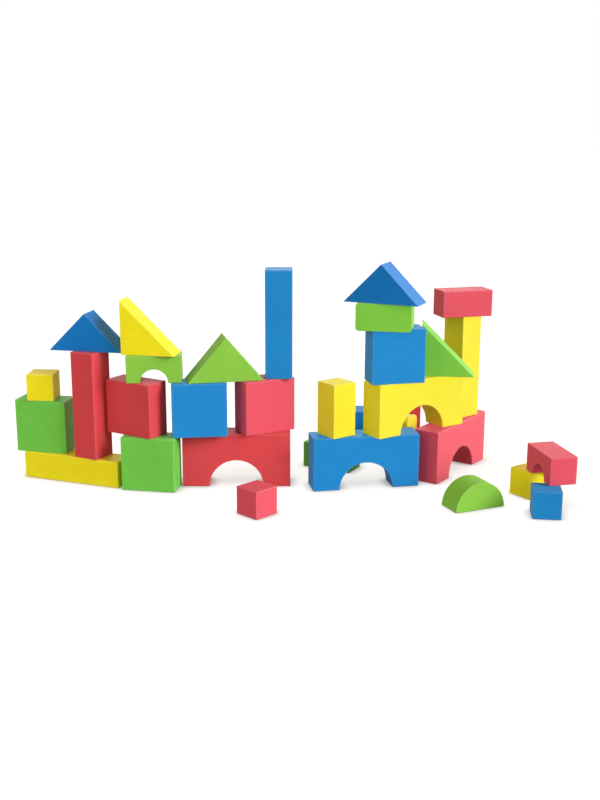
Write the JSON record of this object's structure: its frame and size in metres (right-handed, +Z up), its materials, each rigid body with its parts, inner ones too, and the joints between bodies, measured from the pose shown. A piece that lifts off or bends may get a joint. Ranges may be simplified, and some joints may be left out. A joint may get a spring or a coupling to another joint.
{
  "type": "giant foam building block set",
  "caption": "Giant foam building blocks in red, blue, yellow and green: arches, squares, pillars, bricks, gables and wedges stacked as two castles, with loose blocks beside them.",
  "frame": {"origin": "middle of the set's bounding box, on the floor", "axes": "+X to the right in the picture along the row of blocks, +Y away from the viewer, +Z up"},
  "size_m": [1.5216, 0.7271, 0.6302],
  "materials": {
    "foam_red": "matte closed-cell foam",
    "foam_blue": "matte closed-cell foam",
    "foam_yellow": "matte closed-cell foam",
    "foam_green": "matte closed-cell foam"
  },
  "bodies": {
    "red_arch": {"red_arch": "foam_red"},
    "green_square_base": {"green_square_base": "foam_green"},
    "yellow_plank": {"yellow_plank": "foam_yellow"},
    "red_pillar": {"red_pillar": "foam_red"},
    "blue_gable_left": {"blue_gable_left": "foam_blue"},
    "green_square_left": {"green_square_left": "foam_green"},
    "yellow_cube": {"yellow_cube": "foam_yellow"},
    "red_square_turned": {"red_square_turned": "foam_red"},
    "blue_square_middle": {"blue_square_middle": "foam_blue"},
    "red_square_right": {"red_square_right": "foam_red"},
    "green_gable": {"green_gable": "foam_green"},
    "blue_pillar": {"blue_pillar": "foam_blue"},
    "green_small_arch": {"green_small_arch": "foam_green"},
    "yellow_wedge": {"yellow_wedge": "foam_yellow"},
    "red_cube": {"red_cube": "foam_red"},
    "blue_arch": {"blue_arch": "foam_blue"},
    "yellow_post": {"yellow_post": "foam_yellow"},
    "yellow_arch": {"yellow_arch": "foam_yellow"},
    "red_arch_right": {"red_arch_right": "foam_red"},
    "blue_square_upper": {"blue_square_upper": "foam_blue"},
    "green_brick": {"green_brick": "foam_green"},
    "blue_gable_right": {"blue_gable_right": "foam_blue"},
    "green_wedge": {"green_wedge": "foam_green"},
    "yellow_pillar": {"yellow_pillar": "foam_yellow"},
    "red_brick_top": {"red_brick_top": "foam_red"},
    "green_brick_back": {"green_brick_back": "foam_green"},
    "blue_brick_back": {"blue_brick_back": "foam_blue"},
    "yellow_brick_back": {"yellow_brick_back": "foam_yellow"},
    "red_square_back": {"red_square_back": "foam_red"},
    "green_half_round": {"green_half_round": "foam_green"},
    "yellow_cube_loose": {"yellow_cube_loose": "foam_yellow"},
    "blue_cube": {"blue_cube": "foam_blue"},
    "red_small_arch": {"red_small_arch": "foam_red"}
  },
  "joints": [
    {"name": "yellow_plank_push", "type": "slide", "parent": "red_arch", "child": "yellow_plank", "axis": [-0.9336, 0.3584, 0], "range_m": [0, 0.15]},
    {"name": "green_square_left_lift", "type": "slide", "parent": "yellow_plank", "child": "green_square_left", "axis": [0, 0, 1], "range_m": [0, 0.1]},
    {"name": "yellow_cube_lift", "type": "slide", "parent": "green_square_left", "child": "yellow_cube", "axis": [0, 0, 1], "range_m": [0, 0.12]},
    {"name": "red_pillar_lift", "type": "slide", "parent": "yellow_plank", "child": "red_pillar", "axis": [0, 0, 1], "range_m": [0, 0.12]},
    {"name": "blue_gable_left_lift", "type": "slide", "parent": "red_pillar", "child": "blue_gable_left", "axis": [0, 0, 1], "range_m": [0, 0.12]},
    {"name": "green_square_base_push", "type": "slide", "parent": "red_arch", "child": "green_square_base", "axis": [-0.1736, -0.9848, 0], "range_m": [0, 0.025]},
    {"name": "red_square_turned_push", "type": "slide", "parent": "green_square_base", "child": "red_square_turned", "axis": [-0.5299, -0.848, 0], "range_m": [0, 0.025]},
    {"name": "blue_square_middle_lift", "type": "slide", "parent": "red_arch", "child": "blue_square_middle", "axis": [0, 0, 1], "range_m": [0, 0.1]},
    {"name": "green_small_arch_lift", "type": "slide", "parent": "blue_square_middle", "child": "green_small_arch", "axis": [0, 0, 1], "range_m": [0, 0.1]},
    {"name": "yellow_wedge_lift", "type": "slide", "parent": "green_small_arch", "child": "yellow_wedge", "axis": [0, 0, 1], "range_m": [0, 0.12]},
    {"name": "green_gable_lift", "type": "slide", "parent": "blue_square_middle", "child": "green_gable", "axis": [0, 0, 1], "range_m": [0, 0.12]},
    {"name": "red_square_right_push", "type": "slide", "parent": "red_arch", "child": "red_square_right", "axis": [0.8829, 0.4695, 0], "range_m": [0, 0.02]},
    {"name": "blue_pillar_lift", "type": "slide", "parent": "red_square_right", "child": "blue_pillar", "axis": [0, 0, 1], "range_m": [0, 0.15]},
    {"name": "red_cube_lift", "type": "slide", "parent": "red_arch", "child": "red_cube", "axis": [0, 0, 1], "range_m": [0, 0.15]},
    {"name": "blue_arch_push", "type": "slide", "parent": "red_arch", "child": "blue_arch", "axis": [0.1736, -0.9848, 0], "range_m": [0, 0.025]},
    {"name": "yellow_post_lift", "type": "slide", "parent": "blue_arch", "child": "yellow_post", "axis": [0, 0, 1], "range_m": [0, 0.1]},
    {"name": "yellow_arch_lift", "type": "slide", "parent": "blue_arch", "child": "yellow_arch", "axis": [0, 0, 1], "range_m": [0, 0.1]},
    {"name": "blue_square_upper_lift", "type": "slide", "parent": "yellow_arch", "child": "blue_square_upper", "axis": [0, 0, 1], "range_m": [0, 0.1]},
    {"name": "green_brick_lift", "type": "slide", "parent": "blue_square_upper", "child": "green_brick", "axis": [0, 0, 1], "range_m": [0, 0.1]},
    {"name": "blue_gable_right_lift", "type": "slide", "parent": "green_brick", "child": "blue_gable_right", "axis": [0, 0, 1], "range_m": [0, 0.12]},
    {"name": "green_wedge_lift", "type": "slide", "parent": "yellow_arch", "child": "green_wedge", "axis": [0, 0, 1], "range_m": [0, 0.12]},
    {"name": "red_arch_right_push", "type": "slide", "parent": "red_arch", "child": "red_arch_right", "axis": [0.5736, 0.8192, 0], "range_m": [0, 0.025]},
    {"name": "yellow_pillar_lift", "type": "slide", "parent": "red_arch_right", "child": "yellow_pillar", "axis": [0, 0, 1], "range_m": [0, 0.12]},
    {"name": "red_brick_top_lift", "type": "slide", "parent": "yellow_pillar", "child": "red_brick_top", "axis": [0, 0, 1], "range_m": [0, 0.12]},
    {"name": "green_brick_back_lift", "type": "slide", "parent": "red_arch", "child": "green_brick_back", "axis": [0, 0, 1], "range_m": [0, 0.15]},
    {"name": "blue_brick_back_lift", "type": "slide", "parent": "red_arch", "child": "blue_brick_back", "axis": [0, 0, 1], "range_m": [0, 0.15]},
    {"name": "yellow_brick_back_lift", "type": "slide", "parent": "red_arch", "child": "yellow_brick_back", "axis": [0, 0, 1], "range_m": [0, 0.15]},
    {"name": "red_square_back_lift", "type": "slide", "parent": "red_arch", "child": "red_square_back", "axis": [0, 0, 1], "range_m": [0, 0.15]},
    {"name": "green_half_round_lift", "type": "slide", "parent": "red_arch", "child": "green_half_round", "axis": [0, 0, 1], "range_m": [0, 0.15]},
    {"name": "yellow_cube_loose_push", "type": "slide", "parent": "red_arch", "child": "yellow_cube_loose", "axis": [-0.5878, 0.809, 0], "range_m": [0, 0.025]},
    {"name": "blue_cube_push", "type": "slide", "parent": "red_arch", "child": "blue_cube", "axis": [-0.1219, -0.9925, 0], "range_m": [0, 0.02]},
    {"name": "red_small_arch_lift", "type": "slide", "parent": "yellow_cube_loose", "child": "red_small_arch", "axis": [0, 0, 1], "range_m": [0, 0.12]}
  ]
}
